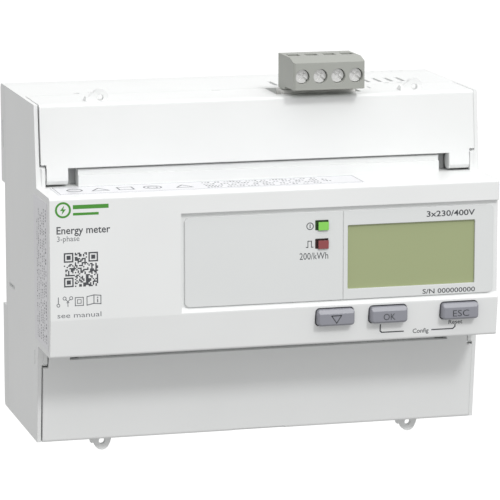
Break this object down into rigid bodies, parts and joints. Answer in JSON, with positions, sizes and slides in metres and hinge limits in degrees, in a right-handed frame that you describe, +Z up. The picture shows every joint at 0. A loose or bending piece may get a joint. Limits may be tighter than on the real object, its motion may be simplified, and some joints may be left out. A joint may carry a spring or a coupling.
{
  "type": "smart electric meter",
  "caption": "Wide DIN-rail electricity meter with an LCD window, push buttons, status lamps, hinged sealable terminal covers, pluggable communication terminal and a spring rail latch.",
  "frame": {"origin": "centre of the seat that rests on the front of a 35 mm top-hat rail", "axes": "+X across the width, to the right seen from the front; -Y out of the front; +Z up"},
  "size_m": [0.1262, 0.0706, 0.1084],
  "materials": {
    "case_plastic": "fine matt texture",
    "base_plastic": "fine matt texture",
    "terminal_plastic": "matt, glass filled",
    "window_plate": "smooth satin print",
    "lcd_cell": "smooth",
    "lcd_holder": "matt",
    "rubber_strip": "soft",
    "diffuser": "translucent",
    "green_lens": "clear green",
    "red_lens": "clear red",
    "button_plastic": "satin",
    "circuit_board": "solder mask",
    "black_parts": "moulded",
    "white_parts": "moulded",
    "ferrite": "sintered",
    "copper": "tin plated copper",
    "plated_steel": "zinc plated",
    "spring_steel": "drawn wire",
    "contact_metal": "gold flash",
    "capacitor_sleeve": "shrink sleeve",
    "varistor_coat": "epoxy dipped",
    "plug_plastic": "matt",
    "insulator": "fibre sheet",
    "label_paper": "printed film"
  },
  "bodies": {
    "housing": {"backlight_diffuser": "diffuser", "backup_cell": "plated_steel", "case_screws": "plated_steel", "comm_board": "circuit_board", "comm_board_screws": "plated_steel", "comm_header": "black_parts", "comm_header_pins": "contact_metal", "comm_link_pins": "contact_metal", "display_board": "circuit_board", "display_board_screws": "plated_steel", "display_window": "window_plate", "filter_capacitors": "capacitor_sleeve", "insulation_sheet": "insulator", "interboard_pins": "contact_metal", "interboard_socket": "black_parts", "isolation_couplers": "black_parts", "latch_spring": "spring_steel", "lcd_contact_strips": "rubber_strip", "lcd_glass": "lcd_cell", "lcd_holder": "lcd_holder", "line_1_busbar": "copper", "line_1_current_sensor": "black_parts", "line_2_busbar": "copper", "line_2_current_sensor": "black_parts", "line_3_busbar": "copper", "line_3_current_sensor": "black_parts", "lower_terminal_block": "terminal_plastic", "lower_terminal_cages": "plated_steel", "lower_terminal_screws": "plated_steel", "main_board": "circuit_board", "main_board_screws": "plated_steel", "main_housing": "case_plastic", "measuring_chips": "black_parts", "neutral_busbar": "copper", "power_light_pipe": "green_lens", "pulse_light_pipe": "red_lens", "rating_label": "label_paper", "rear_base": "base_plastic", "side_label": "label_paper", "status_lamps": "white_parts", "supply_transformer": "ferrite", "surge_arresters": "varistor_coat", "tact_switches": "black_parts", "upper_terminal_block": "terminal_plastic", "upper_terminal_cages": "plated_steel", "upper_terminal_screws": "plated_steel", "voltage_taps": "contact_metal"},
    "upper_cover": {"upper_terminal_cover": "case_plastic", "upper_cover_lid": "case_plastic", "upper_cover_bridge": "case_plastic", "upper_cover_lid_end": "case_plastic"},
    "lower_cover": {"lower_terminal_cover": "case_plastic", "lower_cover_lid": "case_plastic"},
    "scroll_key": {"scroll_button": "button_plastic"},
    "ok_key": {"ok_button": "button_plastic"},
    "escape_key": {"escape_button": "button_plastic"},
    "rail_latch": {"din_latch": "terminal_plastic"},
    "comm_plug": {"comm_plug_body": "plug_plastic", "comm_plug_screws": "plated_steel", "comm_plug_clamps": "plated_steel"}
  },
  "joints": [
    {"name": "upper_cover_hinge", "type": "hinge", "parent": "housing", "child": "upper_cover", "pos_m": [0, -0.0449, 0.02615], "axis": [1, 0, 0], "range_deg": [0, 95]},
    {"name": "lower_cover_hinge", "type": "hinge", "parent": "housing", "child": "lower_cover", "pos_m": [0, -0.0449, -0.02295], "axis": [-1, 0, 0], "range_deg": [0, 95]},
    {"name": "scroll_key_press", "type": "slide", "parent": "housing", "child": "scroll_key", "axis": [0, 1, 0], "range_m": [0, 0.0005], "stiffness_N_per_m": 1500, "springref_m": -0.0004},
    {"name": "ok_key_press", "type": "slide", "parent": "housing", "child": "ok_key", "axis": [0, 1, 0], "range_m": [0, 0.0005], "stiffness_N_per_m": 1500, "springref_m": -0.0004},
    {"name": "escape_key_press", "type": "slide", "parent": "housing", "child": "escape_key", "axis": [0, 1, 0], "range_m": [0, 0.0005], "stiffness_N_per_m": 1500, "springref_m": -0.0004},
    {"name": "rail_latch_pull", "type": "slide", "parent": "housing", "child": "rail_latch", "axis": [0, 0, -1], "range_m": [0, 0.0035], "stiffness_N_per_m": 1500, "springref_m": -0.003, "deforming": ["latch_spring"]},
    {"name": "comm_plug_pull", "type": "slide", "parent": "housing", "child": "comm_plug", "axis": [0, 0, 1], "range_m": [0, 0.012]}
  ]
}
